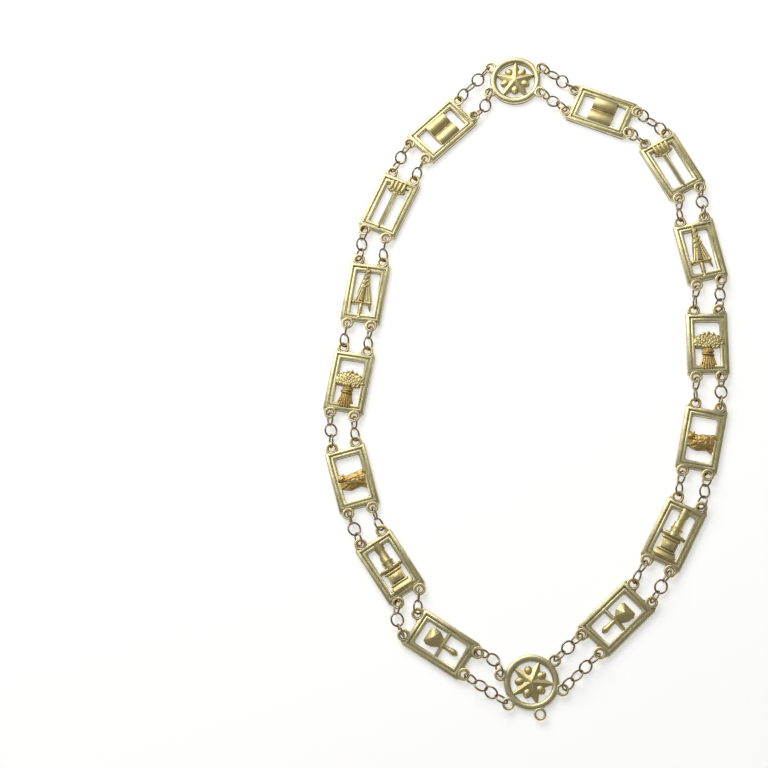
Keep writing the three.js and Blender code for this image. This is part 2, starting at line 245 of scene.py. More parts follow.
def drawn_wire(name, bright, tarnish_and_shade):
    """Drawn brass wire with worn plating: brownish, half dull, with short scuffs along it."""
    if name in bpy.data.materials:
        return bpy.data.materials[name]
    material, tree, shader, place = new_material(name)
    scuffs = node(tree, "ShaderNodeTexNoise", {"Scale": 1 / (1.6 * MM), "Detail": 3.0}, {"Vector": place})
    worn = node(
        tree,
        "ShaderNodeMapRange",
        {"From Min": 0.35, "From Max": 0.7, "To Min": 0.0, "To Max": 0.45},
        {"Value": scuffs.outputs["Fac"]},
    )
    colour = node(
        tree,
        "ShaderNodeMix",
        {"data_type": "RGBA", 6: (*bright, 1), 7: (*tarnish_and_shade, 1)},
        {0: worn.outputs[0]},
    )
    tree.links.new(colour.outputs[2], shader.inputs["Base Color"])
    shader.inputs["Metallic"].default_value = 1.0
    dull = node(
        tree, "ShaderNodeMapRange", {"To Min": 0.28, "To Max": 0.5}, {"Value": worn.outputs[0]}
    )
    tree.links.new(dull.outputs[0], shader.inputs["Roughness"])
    rub = node(
        tree, "ShaderNodeBump", {"Strength": 0.3, "Distance": 0.05 * MM}, {"Height": scuffs.outputs["Fac"]}
    )
    tree.links.new(rub.outputs[0], shader.inputs["Normal"])
    return material


def opal_acrylic(name, colour):
    """Opal acrylic of a light table: matt, white and lit a little from below, so shadows stay pale."""
    material, _tree, shader, _place = new_material(name)
    shader.inputs["Base Color"].default_value = (*colour, 1)
    shader.inputs["Roughness"].default_value = 0.9
    shader.inputs["Specular IOR Level"].default_value = 0.2
    shader.inputs["Emission Color"].default_value = (1, 1, 1, 1)
    shader.inputs["Emission Strength"].default_value = 0.55
    return material


def frame_gilt():
    colours = bpy.context.scene.chain_colours
    return cast_gilt("gold_plated_frame", colours.gilt, colours.tarnish_and_shade, 0.4)


def emblem_gilt():
    colours = bpy.context.scene.chain_colours
    return cast_gilt("gold_plated_emblem", colours.emblem, colours.tarnish_and_shade, 0.44)


def worn_emblem_gilt():
    colours = bpy.context.scene.chain_colours
    return cast_gilt("gold_plated_worn", colours.worn, colours.tarnish_and_shade, 0.46)


def casting_finishes():
    """The materials of a casting, in the order of the finish numbers that join is given."""
    return frame_gilt(), emblem_gilt(), worn_emblem_gilt()


# ---- shaping, in millimetres about the casting's own middle ---------------------------------------


def join(whole, part, place=None, finish=0):
    """Adds a finished part to the casting, moved into place, with the given material number."""
    if place is not None:
        bmesh.ops.transform(part, matrix=place, verts=part.verts)
    for face in part.faces:
        face.material_index = finish
    scratch = bpy.data.meshes.new("scratch")
    part.to_mesh(scratch)
    part.free()
    whole.from_mesh(scratch)
    bpy.data.meshes.remove(scratch)


def turned(profile, steps, first=0.0):
    """A closed ring of the given section (radius, height), turned about the upright axis."""
    shape = bmesh.new()
    verts = [shape.verts.new((radius, 0, height)) for radius, height in profile]
    edges = [shape.edges.new((a, b)) for a, b in zip(verts, verts[1:] + verts[:1])]
    bmesh.ops.rotate(shape, verts=verts, matrix=Matrix.Rotation(first, 3, "Z"))
    bmesh.ops.spin(
        shape, geom=verts + edges, axis=UP, cent=(0, 0, 0), angle=math.tau, steps=steps, use_merge=True
    )
    bmesh.ops.remove_doubles(shape, verts=shape.verts, dist=1e-4)
    return shape


def plate(outline, bottom, top, soften=0.2, segments=2):
    """A flat slab of the given outline whose top edges are rounded over."""
    shape = bmesh.new()
    face = shape.faces.new([shape.verts.new((x, y, bottom)) for x, y in outline])
    made = bmesh.ops.extrude_face_region(shape, geom=[face])["geom"]
    raised = [item for item in made if isinstance(item, bmesh.types.BMVert)]
    bmesh.ops.translate(shape, verts=raised, vec=(0, 0, top - bottom))
    if soften:
        rim = [edge for edge in shape.edges if all(vert.co.z > top - 1e-4 for vert in edge.verts)]
        soften_edges(shape, rim, soften, segments)
    return shape


def soften_edges(shape, edges, width, segments=2):
    bmesh.ops.bevel(
        shape,
        geom=edges,
        offset=width,
        offset_type="OFFSET",
        segments=segments,
        profile=0.5,
        affect="EDGES",
        clamp_overlap=True,
        material=-1,
    )


def domed(outline, bottom, shoulder, crest, width, rounds=4):
    """A relief of the given outline that rises from its shoulder to its crest in a quarter round."""
    shape = plate(outline, bottom, shoulder, 0)
    top = [face for face in shape.faces if all(vert.co.z > shoulder - 1e-4 for vert in face.verts)]
    done = 0.0
    for k in range(1, rounds + 1):
        angle = (math.pi / 2) * k / rounds
        run = width * k / rounds
        rise = (crest - shoulder) * math.sin(angle)
        bmesh.ops.inset_region(
            shape, faces=top, use_even_offset=True, thickness=run - done, depth=0
        )
        done = run
        for vert in {vert for face in top for vert in face.verts}:
            vert.co.z = shoulder + rise
    return shape


def bar(section, start, end, soften=0.0):
    """A bar of constant section (across, up) that runs along the casting from start to end."""
    shape = bmesh.new()
    face = shape.faces.new([shape.verts.new((x, start, z)) for x, z in section])
    made = bmesh.ops.extrude_face_region(shape, geom=[face])["geom"]
    moved = [item for item in made if isinstance(item, bmesh.types.BMVert)]
    bmesh.ops.translate(shape, verts=moved, vec=(0, end - start, 0))
    if soften:
        ends = [edge for edge in shape.edges if abs(edge.verts[0].co.y - edge.verts[1].co.y) < 1e-4]
        soften_edges(shape, ends, soften)
    return shape


def rod(stations, sides=8, squash=1.0):
    """A round rod through stations (x, y, z, radius), closed at both ends."""
    shape = bmesh.new()
    points = [Vector(station[:3]) for station in stations]
    loops = []
    for i, station in enumerate(stations):
        ahead = points[min(i + 1, len(points) - 1)] - points[max(i - 1, 0)]
        turn = ahead.to_track_quat("Z", "X").to_matrix().to_4x4()
        ends = i in (0, len(stations) - 1)
        made = bmesh.ops.create_circle(
            shape,
            cap_ends=ends,
            segments=sides,
            radius=station[3],
            matrix=Matrix.Translation(points[i]) @ turn,
        )
        ring = set(made["verts"])
        loops.append([edge for edge in shape.edges if edge.verts[0] in ring and edge.verts[1] in ring])
    for near, far in zip(loops, loops[1:]):
        bmesh.ops.bridge_loops(shape, edges=near + far)
    if squash != 1.0:
        middle = points[0].z
        for vert in shape.verts:
            vert.co.z = middle + (vert.co.z - middle) * squash
    return shape


def round_rod(start, end, first, last=None, sides=10, squash=1.0):
    """A rod between two points (x, y, z) with rounded ends."""
    last = first if last is None else last
    start, end = Vector(start), Vector(end)
    way = (end - start).normalized()
    stations = []
    for share, reach in ((0.35, 0.94), (0.75, 0.66), (1.0, 0.0)):
        stations.append((*(start - way * first * reach), first * share))
    for share, reach in ((1.0, 0.0), (0.75, 0.66), (0.35, 0.94)):
        stations.append((*(end + way * last * reach), last * share))
    return rod(stations, sides, squash)


def bead(middle, radii, turn=0.0, around=10, rings=6):
    """A small ellipsoid, turned about the upright axis (degrees)."""
    shape = bmesh.new()
    place = (
        Matrix.Translation(Vector(middle))
        @ Matrix.Rotation(math.radians(turn), 4, "Z")
        @ Matrix.Diagonal((*radii, 1))
    )
    bmesh.ops.create_uvsphere(shape, u_segments=around, v_segments=rings, radius=1.0, matrix=place)
    return shape


def trim_below(shape, level):
    """Cuts away what is below the level and closes the cut."""
    bmesh.ops.bisect_plane(
        shape,
        geom=shape.verts[:] + shape.edges[:] + shape.faces[:],
        plane_co=(0, 0, level),
        plane_no=(0, 0, 1),
        clear_inner=True,
    )
    bmesh.ops.holes_fill(shape, edges=shape.edges[:], sides=0)
    return shape


def cut_off(shape, point, outward):
    """Cuts away what is on the outward side of a plane and closes the cut."""
    bmesh.ops.bisect_plane(
        shape,
        geom=shape.verts[:] + shape.edges[:] + shape.faces[:],
        plane_co=point,
        plane_no=outward,
        clear_outer=True,
    )
    bmesh.ops.holes_fill(shape, edges=shape.edges[:], sides=0)
    return shape


def arc(x, y, radius, start, end, count):
    """Points on an arc, by angles in degrees."""
    step = (end - start) / (count - 1)
    angles = [math.radians(start + step * i) for i in range(count)]
    return [(x + radius * math.cos(a), y + radius * math.sin(a)) for a in angles]


# ---- the plaque's frame ---------------------------------------------------------------------------

# Section of the frame's moulding (across from the axis, up): flat outer band, groove, inner band.
MOULDING = (
    (7.0, 0.0), (11.7, 0.0), (11.9, 0.2), (11.9, 2.3), (11.8, 2.65), (11.55, 2.88), (11.2, 3.05),
    (10.6, 3.28), (10.1, 3.42), (9.85, 3.34), (9.62, 2.95), (9.45, 2.6), (9.2, 2.55), (9.02, 2.72),
    (8.75, 2.95), (8.3, 3.02), (7.7, 2.94), (7.3, 2.78), (7.08, 2.5), (7.0, 2.0),
)
# A plaque is this much longer than wide, to each side of its middle.
STRETCH = 6.1
# Where the lugs of a plaque and of a medallion are, from the middle.
PLAQUE_LUG = (7.1, 20.0)
MEDALLION_LUG = (15.3, 8.2)


def lug_washer(hole, rim, bottom=1.7, top=3.3):
    """The rounded rim of a lug round its hole."""
    section = (
        (hole, bottom + 0.3), (hole + 0.25, bottom), (rim - 0.25, bottom), (rim, bottom + 0.3),
        (rim, top - 0.5), (rim - 0.2, top - 0.15), (rim - 0.55, top), (hole + 0.5, top - 0.04),
        (hole + 0.15, top - 0.3), (hole, top - 0.7),
    )
    return turned(section, 28)


def lug_hole_shade(hole):
    """Section of a sleeve inside a lug's hole, given the darker worn gilt as painted shade for the inside
    of the hole.
    """
    return (
        (hole - 0.25, 2.0), (hole + 0.1, 1.9), (hole + 0.45, 3.28), (hole + 0.3, 3.32),
        (hole - 0.05, 2.95), (hole - 0.25, 2.5),
    )


def plaque_frame(whole):
    """The moulded frame with two lugs at each end, into the casting."""
    sizes = bpy.context.scene.chain_sizes
    corner = [(x * math.sqrt(2), z) for x, z in MOULDING]
    moulding = turned(corner, 4, math.pi / 4)
    for side in (1, -1):
        half = [vert for vert in moulding.verts if vert.co.y * side > 0]
        bmesh.ops.translate(moulding, verts=half, vec=(0, STRETCH * side, 0))
    uprights = [
        edge
        for edge in moulding.edges
        if all(abs(abs(vert.co.x) - 7.0) < 0.01 for vert in edge.verts)
        and abs(edge.verts[0].co.z - edge.verts[1].co.z) > 1
    ]
    soften_edges(moulding, uprights, 1.4, 5)
    join(whole, moulding)
    x, y = PLAQUE_LUG
    half = [(11.85, 16.6), (11.6, 17.8), (10.75, 19.8)]
    half += arc(x, y, 2.85, -8, -172, 9)
    half += [(3.7, 19.2), (2.9, 18.0)]
    web = half + [(-a, b) for a, b in reversed(half)]
    for turn in (0, math.pi):
        end = Matrix.Rotation(turn, 4, "Z")
        join(whole, plate(web, 1.1, 2.74, 0.35, 3), end)
        for side in (1, -1):
            washer = lug_washer(sizes.lug_hole / MM, sizes.lug_rim / MM)
            join(whole, washer, end @ Matrix.Translation((side * x, y, 0)))
            # Painted shade: a sleeve in the darker worn gilt lines each hole where the shade falls.
            hole_shade = turned(lug_hole_shade(sizes.lug_hole / MM), 28)
            join(whole, hole_shade, end @ Matrix.Translation((side * x, y, 0)), finish=2)


# ---- emblems --------------------------------------------------------------------------------------


def book_emblem(whole):
    """An open book: a cover and two rounded blocks of pages whose edges show as fine steps."""
    cover = [(-8.9, -7.9), (8.9, -7.9), (8.9, 6.6), (-8.9, 6.6)]
    join(whole, plate(cover, 0.5, 1.9, 0.2), finish=1)
    for side in (-1, 1):
        arch = [(side * 0.4, 1.0)]
        for k in range(19):
            share = k / 18
            step = 0.12 if share > 0.8 and k % 2 else 0.0
            rise = 2.1 * math.sin(math.pi * share) ** 0.55 - step
            arch.append((side * (0.4 + 8.37 * share), 2.1 + max(rise, 0.0)))
        arch.append((side * 8.77, 1.0))
        join(whole, bar(arch, -7.6, 6.3, 0.14), finish=1)


def crown_emblem(whole):
    """A fluted crown over the top rail, on a ridged sceptre down to the bottom rail."""
    stem = ((-1.35, 0.6), (1.35, 0.6), (1.35, 2.0), (0.3, 3.5), (-0.1, 3.55), (-1.35, 2.3))
    join(whole, bar(stem, -16.2, 9.0, 0.15), finish=0)
    back = [(-5.0, 9.4), (5.0, 9.4), (4.8, 15.4), (-4.8, 15.4)]
    join(whole, plate(back, 0.6, 3.25, 0.3), finish=1)
    for x in (-3.7, -1.25, 1.25, 3.7):
        lean = x * 0.04
        flute = round_rod((x - lean, 10.7, 2.75), (x + lean, 14.8, 2.75), 1.22, 1.28, 14, 1.0)
        join(whole, flute, finish=1)
    smile = []
    for angle in range(-78, 79, 13):
        turn = math.radians(angle)
        smile.append((5.3 * math.sin(turn), 11.0 - 2.3 * math.cos(turn), 2.0, 0.9))
    join(whole, rod(smile, 12, 1.15), finish=1)
    for angle in range(-60, 61, 24):
        turn = math.radians(angle)
        spot = (4.9 * math.sin(turn), 10.7 - 2.1 * math.cos(turn), 2.95)
        join(whole, bead(spot, (0.6, 0.55, 0.4)), finish=1)
    join(whole, bead((0, 8.1, 2.5), (1.9, 0.8, 1.0)), finish=1)


def sword_emblem(whole):
    """A sword, point up, in a veil that falls in folds over the guard and trails at the right."""
    cone = [
        (-1.5, 16.0), (-2.4, 11), (-3.5, 6), (-4.4, 1.5), (-5.0, -3), (-5.3, -5.4), (4.4, -6.4),
        (4.7, -4.6), (3.6, 0), (2.2, 5), (1.2, 10), (0.6, 16.0),
    ]
    join(whole, domed(cone, 0.5, 1.8, 3.1, 1.3, 4), finish=1)
    blade = ((-1.6, 1.0), (0.4, 1.0), (0.35, 3.2), (-0.6, 3.9), (-1.55, 3.2))
    join(whole, bar(blade, -5.5, 16.2, 0.1), finish=1)
    folds = (
        ((-1.2, 7.0), (-4.7, -5.6), 0.45, 0.95), ((-0.9, 5.0), (-3.2, -6.0), 0.45, 0.8),
        ((-0.3, 5.0), (1.1, -6.0), 0.45, 0.75), ((0.2, 6.0), (2.6, -6.1), 0.5, 0.85),
        ((0.6, 8.0), (4.0, -5.9), 0.45, 0.8),
    )
    for (x0, y0), (x1, y1), thin, thick in folds:
        way = []
        for t in (0, 0.3, 0.65, 1):
            way.append((x0 + (x1 - x0) * t, y0 + (y1 - y0) * t, 2.75 - 0.2 * t, thin + (thick - thin) * t))
        join(whole, rod(way, 8), finish=1)
    for k in range(4):
        low, high = 2.4 + 2.9 * k, 5.6 + 3.1 * k
        left, right = -3.2 + 0.45 * k, 1.9 - 0.3 * k
        wrap = []
        for t in (0, 0.25, 0.5, 0.75, 1):
            lift = 2.55 + 0.75 * math.sin(math.pi * t)
            wrap.append((left + (right - left) * t, low + (high - low) * t**1.3, lift, 0.62))
        join(whole, rod(wrap, 10), finish=1)
    guard = [
        (-6.6, -4.9), (-6.8, -6.3), (-6.4, -7.6), (-3, -7.2), (0.6, -7.2), (4.2, -7.8), (4.9, -6.4),
        (4.2, -4.9), (0.6, -5.3), (-3, -5.3),
    ]
    join(whole, domed(guard, 0.5, 2.3, 3.5, 0.9, 3), finish=1)
    for x in (-5.7, 3.9):
        join(whole, bead((x, -6.3, 3.0), (1.15, 1.35, 0.85), 0, 14, 9), finish=1)
    grip = []
    for y, r in ((-7.0, 1.2), (-8.2, 1.3), (-10.5, 1.45), (-13, 1.25), (-14.6, 1.15), (-16.2, 1.25)):
        grip.append((-1.15, y, 2.1, r))
    join(whole, trim_below(rod(grip, 14, 1.1), 0.6), finish=1)
    for y in (-8.8, -10.6, -12.4):
        band = [
            (-2.5, y - 0.3, 2.4, 0.22), (-1.8, y, 3.3, 0.28), (-0.5, y, 3.3, 0.28),
            (0.2, y - 0.3, 2.4, 0.22),
        ]
        join(whole, rod(band, 6), finish=1)
    join(whole, bead((-1.15, -15.6, 2.6), (1.6, 1.1, 1.0), 0, 14, 9), finish=1)
    tail = [(3.6, -6.6, 2.2, 1.0), (3.9, -8.2, 2.0, 0.95), (4.4, -9.8, 1.8, 0.65), (4.6, -11.0, 1.5, 0.3)]
    join(whole, rod(tail, 10), finish=1)


def sheaf_emblem(whole):
    """A sheaf of wheat: a dome of ears full of grain, a twisted band and flaring stalks."""
    head = [
        (-8.8, -1.7), (-6.5, -2.6), (-4, -3.0), (4, -3.0), (6.5, -2.5), (8.8, -1.5), (8.8, 3.1),
        (6.2, 4.9), (3.4, 5.9), (0.4, 6.3), (-2.8, 6.0), (-6, 4.8), (-8.8, 2.6),
    ]
    join(whole, domed(head, 0.5, 1.8, 3.3, 1.9, 5), finish=1)
    chance = random.Random(7)
    for ray in range(11):
        angle = math.radians(22 + 13.6 * ray)
        across, along = math.cos(angle), math.sin(angle)
        reach = min(8.2 / max(abs(across), 1e-6), 12.4 - 2.0 * abs(across))
        for i in range(int((reach - 4.4) / 1.5) + 1):
            far = reach - 0.7 - 1.5 * i
            x, y = 0.2 + far * across, -5.6 + far * along
            if y < -2.4:
                continue
            side = 1 if i % 2 else -1
            z = 2.6 + 0.4 * math.cos(x / 8.8 * 1.3) + chance.uniform(-0.08, 0.08)
            x, y = x - 0.36 * side * along, y + 0.36 * side * across
            grain = bead((x, y, z), (1.35, 0.8, 0.62), math.degrees(angle) + side * 16, 12, 7)
            join(whole, grain, finish=1)
    for ray in range(17):
        angle = math.radians(38 + 6.5 * ray)
        reach = min(8.6 / max(abs(math.cos(angle)), 1e-6), 12.1 - 1.9 * abs(math.cos(angle)))
        x, y = 0.2 + reach * math.cos(angle), -5.6 + reach * math.sin(angle)
        join(whole, bead((x, y, 2.1), (0.75, 0.34, 0.5), math.degrees(angle), 8, 5), finish=1)
    foot = [
        (-3.0, -4.4), (-2.7, -6.4), (-3.4, -10), (-4.5, -14.2), (-4.9, -15.6), (5.1, -15.6),
        (4.8, -14.2), (3.6, -10), (2.8, -6.4), (3.2, -2.4), (-3.2, -2.4),
    ]
    join(whole, plate(foot, 0.5, 2.2, 0.2), finish=2)
    for i in range(7):
        share = i / 6
        top, low = -2.3 + 4.7 * share, -4.4 + 9.0 * share
        lift = 2.1 + 0.8 * math.sin(math.pi * share)
        stalk = [
            (top * 1.12, -3.0, lift, 0.55), (top, -6.0, lift, 0.55),
            (top * 0.6 + low * 0.4, -10, lift, 0.68), (low, -14.4, lift - 0.1, 0.85),
            (low * 1.03, -15.6, lift - 0.3, 0.8),
        ]
        join(whole, rod(stalk, 8), finish=2)
    for i, (x0, x1) in enumerate(((-2.2, 0.6), (0.4, 3.3), (-3.4, -0.8))):
        slip = [(x0, -9.0 - i, 3.0, 0.3), (x1, -14.6, 3.1, 0.5)]
        join(whole, rod(slip, 8), finish=2)
    for y, tilt in ((-5.4, 0.5), (-6.7, -0.4)):
        band = [
            (-3.2, y - tilt, 2.1, 0.6), (-2, y - tilt * 0.6, 3.2, 0.75), (0, y, 3.6, 0.8),
            (2, y + tilt * 0.6, 3.2, 0.75), (3.3, y + tilt, 2.1, 0.6),
        ]
        join(whole, rod(band, 10), finish=2)


def lamb_emblem(whole):
    """A lying lamb: curled fleece, head at the left, legs folded beneath."""
    fleece = [
        (-8.8, 4.0), (-8.8, -4.9), (-6.3, -5.2), (-4.2, -6.3), (-1.6, -6.9), (1.2, -6.3), (3.6, -6),
        (5.8, -7), (7.4, -8.3), (8.8, -8.6), (8.8, 4.2), (6.4, 3.9), (4.2, 3.4), (1.9, 3.1),
        (-1.2, 2.2), (-5, 2.9), (-6.6, 3.7),
    ]
    join(whole, domed(fleece, 0.5, 1.8, 2.8, 1.2, 4), finish=2)
    body = bead((1.6, -1.2, 2.0), (6.9, 4.1, 1.7), 2, 96, 56)
    body.normal_update()
    for vert in body.verts:
        # Curls about 1.6 mm across stand 0.4 mm proud of the fleece, and lie on each other unevenly.
        near = noise.voronoi(Vector((vert.co.x, vert.co.y * 1.15, vert.co.z)) / 1.6)[0][0]
        swell = 0.42 * (0.55 - near) + 0.25 * noise.noise(vert.co / 2.6)
        vert.co += vert.normal * swell
    join(whole, body, finish=2)
    join(whole, bead((-6.0, 0.5, 2.7), (2.3, 1.7, 1.35), 205, 16, 10), finish=2)
    join(whole, bead((-7.6, -0.2, 2.4), (1.1, 0.95, 0.9), 20, 12, 8), finish=2)
    for x, y, turn in ((-5.0, 2.4, 60), (-4.3, -0.5, -35)):
        join(whole, bead((x, y, 3.1), (1.25, 0.6, 0.5), turn, 12, 8), finish=2)
    for x, y in ((-6.5, 1.2), (-7.0, 0.4)):
        join(whole, bead((x, y, 3.75), (0.3, 0.3, 0.25)), finish=2)
    legs = (
        ((-3.4, -3.2, 2.5, 1.05), (-5.6, -4.3, 2.5, 0.85), (-8.4, -4.3, 2.1, 0.6)),
        ((-2.2, -4.8, 2.4, 1.0), (-4.2, -5.6, 2.2, 0.7), (-6.6, -4.9, 2.0, 0.5)),
        ((2.0, -2.9, 3.2, 0.95), (4.6, -4.3, 3.0, 0.85), (6.8, -5.1, 2.5, 0.7), (8.4, -7.0, 2.0, 0.6)),
        ((3.2, -5.2, 2.3, 0.8), (5.8, -6.3, 2.2, 0.7), (7.9, -8.0, 1.9, 0.5)),
    )
    for leg in legs:
        join(whole, rod(leg, 10), finish=2)
    join(whole, rod([(6.6, 2.6, 2.7, 0.9), (7.9, 1.5, 2.6, 0.9), (8.4, 0.0, 2.3, 0.6)], 10), finish=2)


def column_emblem(whole):
    """A broken column on a moulded pedestal, with a thin rail across the frame."""
    lower = []
    for y, r in ((-1.5, 3.6), (0.6, 3.6), (1.2, 3.0), (3.0, 3.2), (3.9, 2.9), (9.8, 2.75)):
        lower.append((0.1, y, 1.0, r))
    shaft = cut_off(rod(lower, 20, 0.95), (0.4, 9.4, 0), Vector((-0.68, 0.73, 0)))
    join(whole, trim_below(shaft, 0.5), finish=1)
    upper = [(0.5, y, 1.0, r) for y, r in ((4.4, 2.3), (9, 2.5), (12.5, 2.9), (15.5, 3.2))]
    drum = cut_off(rod(upper, 20, 0.78), (0.1, 8.0, 0), Vector((0.68, -0.73, 0)))
    join(whole, trim_below(drum, 0.5), finish=1)
    collar = [(0.2, y, 1.0, r) for y, r in ((2.5, 3.0), (2.9, 3.6), (3.5, 3.65), (4.0, 3.1))]
    join(whole, trim_below(rod(collar, 20, 0.9), 0.5), finish=1)
    rail = [(-8.9, -1.9), (8.9, -1.9), (8.9, -0.2), (-8.9, -0.2)]
    join(whole, plate(rail, 0.5, 2.0, 0.3, 3), finish=0)
    block = [
        (-4.7, -0.6), (-4.7, -10.2), (-5.4, -11.4), (-6.5, -13.0), (-6.7, -15.6), (6.9, -15.6),
        (6.7, -13.0), (5.4, -11.4), (4.7, -10.2), (4.7, -0.6),
    ]
    join(whole, plate(block, 0.5, 2.8, 0.35), finish=1)
    for y, half, radius, lift in ((-1.0, 5.3, 1.15, 2.9), (-3.4, 4.7, 0.8, 2.7), (-10.6, 4.9, 0.7, 2.7)):
        join(whole, round_rod((-half, y, lift), (half, y, lift), radius, sides=12), finish=1)
    for half, low, high, crest in ((3.7, -9.5, -4.6, 3.7), (1.7, -8.3, -5.7, 4.2)):
        panel = [(-half, low), (half, low), (half, high), (-half, high)]
        join(whole, plate(panel, 2.0, crest, 0.5, 2), finish=1)
    slope = ((-15.6, 0.6), (-15.6, 2.6), (-14.0, 3.9), (-13.2, 3.9), (-11.2, 2.8), (-11.2, 0.6))
    wedge = bar(slope, -5.7, 6.1, 0.45)
    join(whole, wedge, SWAP, finish=1)


def cup_emblem(whole):
    """A cup cut in four large facets that meet in a peak, on a ridged bar, its stem below."""
    bar_shape = ((-2.35, 0.5), (-2.35, 1.9), (-1.55, 2.9), (-0.85, 2.9), (-0.05, 1.9), (-0.05, 0.5))
    join(whole, bar(bar_shape, -8.9, 8.9, 0.1), SWAP, finish=0)
    cup = bmesh.new()
    edge = []
    for x, y in (
        (-3.4, 9.4), (4.9, 9.4), (6.1, 7.3), (5.7, 3.6), (3.2, -0.3), (-1.7, -0.3), (-4.0, 3.6),
        (-4.5, 7.3),
    ):
        edge.append(cup.verts.new((x, y, 1.9)))
    peak = cup.verts.new((0.8, 5.3, 4.7))
    for a, b in zip(edge, edge[1:] + edge[:1]):
        cup.faces.new((peak, a, b))
    made = bmesh.ops.extrude_edge_only(cup, edges=[e for e in cup.edges if e.is_boundary])["geom"]
    for item in made:
        if isinstance(item, bmesh.types.BMVert):
            item.co.z = 0.5
    bmesh.ops.holes_fill(cup, edges=cup.edges[:], sides=0)
    # The side facets bow outwards a little, as a cast bowl does.
    for vert, lift in ((edge[2], 0.5), (edge[3], 0.7), (edge[6], 0.7), (edge[7], 0.5)):
        vert.co.z += lift
    bmesh.ops.recalc_face_normals(cup, faces=cup.faces)
    ridges = [e for e in cup.edges if e.calc_face_angle(0.0) > 0.3 and max(v.co.z for v in e.verts) > 1.8]
    soften_edges(cup, ridges, 0.16, 2)
    join(whole, cup, finish=1)
    stem = []
    for y, r in (
        (-1.6, 1.5), (-3.0, 1.3), (-5.5, 1.45), (-8.0, 1.95), (-9.4, 1.8), (-10.4, 1.2), (-11.0, 0.5),
    ):
        stem.append((0.0, y, 1.1, r))
    join(whole, trim_below(rod(stem, 16, 1.0), 0.5), finish=1)


# ---- medallion ------------------------------------------------------------------------------------


def medallion_shape(whole, first_point, with_jewel_lug):
    """A moulded rim, a faceted star with a knob in each notch, and the lugs."""
    sizes = bpy.context.scene.chain_sizes
    moulding = (
        (11.4, 0.0), (15.1, 0.0), (15.3, 0.2), (15.3, 2.2), (15.1, 2.7), (14.7, 3.05), (14.2, 3.25),
        (13.4, 3.32), (12.7, 3.25), (12.25, 3.05), (11.75, 2.7), (11.5, 2.3), (11.4, 1.8),
    )
    join(whole, turned(moulding, 72))
    hole, rim = sizes.lug_hole / MM, sizes.lug_rim / MM
    x, y = MEDALLION_LUG
    lugs = [(side * x, up * y, hole, rim) for side in (1, -1) for up in (1, -1)]
    if with_jewel_lug:
        lugs.append((0.0, -17.9, 2.0, 3.5))
    for x, y, hole, radius in lugs:
        join(whole, lug_washer(hole, radius), Matrix.Translation((x, y, 0)))
        inward = math.degrees(math.atan2(-y, -x))
        foot = arc(x, y, hole + 0.5, inward - 75, inward + 75, 7)
        spread = math.degrees(math.atan2(3.2, 13.8))
        base = math.degrees(math.atan2(y, x))
        rear = arc(0, 0, 14.0, base - spread, base + spread, 5)
        join(whole, plate(foot + rear, 1.2, 3.1, 0.25, 2))
    points, tip, notch = 5, 12.9, 5.7
    star = bmesh.new()
    apex = star.verts.new((0, 0, 3.9))
    ring = []
    for i in range(points * 2):
        angle = first_point + i * math.pi / points
        radius = notch if i % 2 else tip
        height = 2.0 if i % 2 else 2.3
        ring.append(star.verts.new((radius * math.cos(angle), radius * math.sin(angle), height)))
    for a, b in zip(ring, ring[1:] + ring[:1]):
        star.faces.new((apex, a, b))
    made = bmesh.ops.extrude_edge_only(star, edges=[e for e in star.edges if e.is_boundary])["geom"]
    for item in made:
        if isinstance(item, bmesh.types.BMVert):
            item.co.z = 0.5
    bmesh.ops.holes_fill(star, edges=star.edges[:], sides=0)
    bmesh.ops.recalc_face_normals(star, faces=star.faces)
    ridges = [e for e in star.edges if e.calc_face_angle(0.0) > 0.2 and max(v.co.z for v in e.verts) > 1.4]
    soften_edges(star, ridges, 0.14, 2)
    join(whole, star, finish=1)
    for i in range(points):
        angle = first_point + (2 * i + 1) * math.pi / points
        across = math.degrees(angle)
        x, y = math.cos(angle), math.sin(angle)
        join(whole, bead((6.3 * x, 6.3 * y, 1.5), (3.0, 2.5, 1.7), across, 20, 12), finish=1)
        join(whole, bead((8.1 * x, 8.1 * y, 1.9), (1.25, 1.4, 1.05), across, 14, 10), finish=1)


# ---- where things are -----------------------------------------------------------------------------


def standing_points(name):
    """The corners of a solid that stand on the ground, in millimetres."""
    found = {
        (round(vert.co.x / MM, 2), round(vert.co.y / MM, 2))
        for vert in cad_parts[name].data.vertices
        if vert.co.z < 0.05 * MM
    }
    return [Vector(point) for point in sorted(found)]


def mean(points):
    total = Vector((0.0, 0.0))
    for point in points:
        total += point
    return total / len(points)


def casting_place(name):
    """The matrix from a casting's own millimetres to the frame's metres."""
    points = standing_points(name)
    middle = mean(points)
    if name.startswith("medallion"):
        # The lugs beyond the rim stand on both sides of the upright.
        sway = Vector((0.0, 0.0))
        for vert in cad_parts[name].data.vertices:
            arm = Vector((vert.co.x / MM, vert.co.y / MM)) - middle
            if arm.length > 17.5:
                double = 2 * math.atan2(arm.y, arm.x)
                sway += Vector((math.cos(double), math.sin(double)))
        across = math.atan2(sway.y, sway.x) / 2
        upright = Vector((-math.sin(across), math.cos(across)))
    else:
        corners = sorted(points, key=lambda point: -(point - middle).length)[:4]
        first = corners[0]
        near = min(corners[1:], key=lambda point: (point - first).length)
        upright = ((first + near) / 2 - middle).normalized()
    if upright.y < 0:
        upright = -upright
    turn = Matrix(
        (
            (upright.y, upright.x, 0, middle.x),
            (-upright.x, upright.y, 0, middle.y),
            (0, 0, 1, 0),
            (0, 0, 0, 1),
        )
    )
    return Matrix.Diagonal((MM, MM, MM, 1)) @ turn


